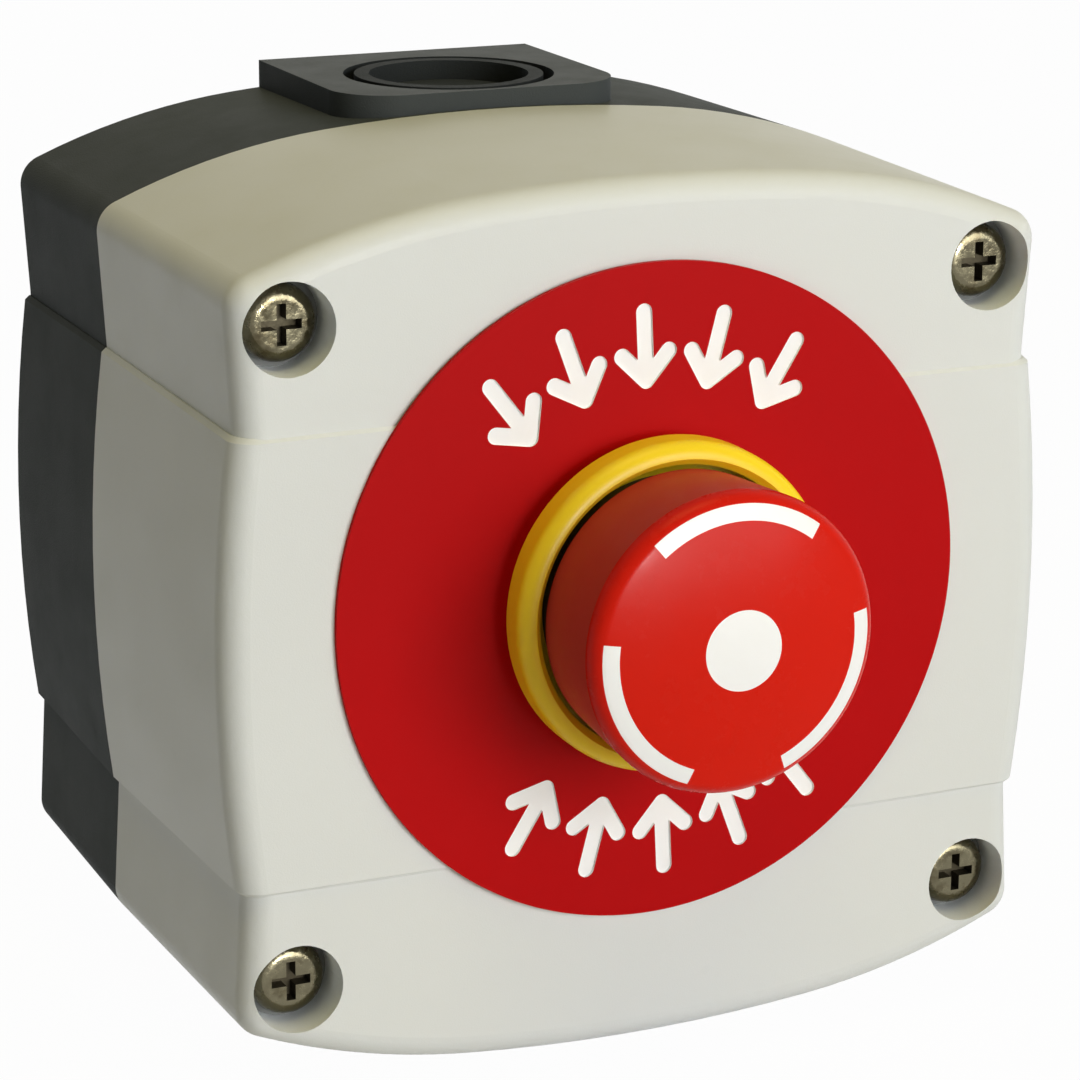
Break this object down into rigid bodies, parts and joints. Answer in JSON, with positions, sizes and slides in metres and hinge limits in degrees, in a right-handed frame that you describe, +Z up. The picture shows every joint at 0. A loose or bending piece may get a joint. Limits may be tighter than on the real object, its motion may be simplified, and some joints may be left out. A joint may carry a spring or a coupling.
{
  "type": "wireless panic button",
  "caption": "Wall-mounted panic button: a pale screwed cover on a dark box, with a red push button on a yellow collar that turns to reset.",
  "frame": {"origin": "middle of the box's flat back face, on the wall plane", "axes": "+X to the right and +Z up as seen from the front, -Y out of the wall"},
  "size_m": [0.085, 0.083, 0.0886],
  "materials": {
    "base_plastic": "fine grained black moulding",
    "cover_plastic": "pale grey satin moulding",
    "seal_rubber": "smooth",
    "screw_zinc": "yellowish zinc plate",
    "label_red": "printed satin sheet",
    "collar_yellow": "satin",
    "black_plastic": "satin",
    "spring_steel": "bright",
    "head_red": "glossy",
    "block_grey": "satin",
    "contact_brass": "bright",
    "board_green": "solder mask",
    "can_metal": "satin",
    "antenna_copper": "bright copper",
    "chip_ceramic": "matt",
    "battery_steel": "bright",
    "terminal_green": "satin",
    "wire_red": "satin",
    "wire_black": "satin"
  },
  "bodies": {
    "housing": {"rear_box": "base_plastic", "front_cover": "cover_plastic", "cover_seal": "seal_rubber", "cover_screws": "screw_zinc", "label_disc": "label_red", "yellow_collar": "collar_yellow", "ring_seal": "seal_rubber", "operator_bush": "black_plastic", "lock_washer": "spring_steel", "fixing_nut": "black_plastic", "stop_ring": "spring_steel", "latch_ring": "spring_steel", "contact_adapter": "black_plastic", "contact_housing": "block_grey", "fixed_contacts": "contact_brass", "terminal_screws": "screw_zinc", "terminal_clamps": "screw_zinc", "transmitter_board": "board_green", "board_screws": "screw_zinc", "radio_module": "can_metal", "antenna_coil": "antenna_copper", "processor_chip": "black_plastic", "capacitor": "can_metal", "resistors": "chip_ceramic", "battery_cradle": "black_plastic", "battery": "battery_steel", "battery_clip": "spring_steel", "wire_terminal": "terminal_green", "wire_terminal_screws": "screw_zinc", "signal_wire_upper": "wire_red", "signal_wire_lower": "wire_black"},
    "plunger": {"plunger_sleeve": "black_plastic", "return_spring": "spring_steel"},
    "head": {"button_head": "head_red", "release_spindle": "black_plastic", "spindle_clip": "spring_steel", "twist_spring": "spring_steel"},
    "contact_slide": {"contact_plunger": "black_plastic", "contact_bridge": "contact_brass", "contact_spring": "spring_steel"}
  },
  "joints": [
    {"name": "button_press", "type": "slide", "parent": "housing", "child": "plunger", "axis": [0, 1, 0], "range_m": [0, 0.0036], "stiffness_N_per_m": 3000, "springref_m": -0.005, "deforming": ["return_spring"]},
    {"name": "button_twist", "type": "hinge", "parent": "plunger", "child": "head", "pos_m": [0, -0.064, 0.0029], "axis": [0, 1, 0], "range_deg": [0, 30], "stiffness_Nm_per_rad": 0.06, "springref_deg": -28.65},
    {"name": "contact_press", "type": "slide", "parent": "housing", "child": "contact_slide", "axis": [0, 1, 0], "range_m": [0, 0.0036], "deforming": ["contact_spring"]}
  ],
  "couplings": [
    {"joint": "contact_press", "follows": "button_press", "ratio": 1}
  ]
}
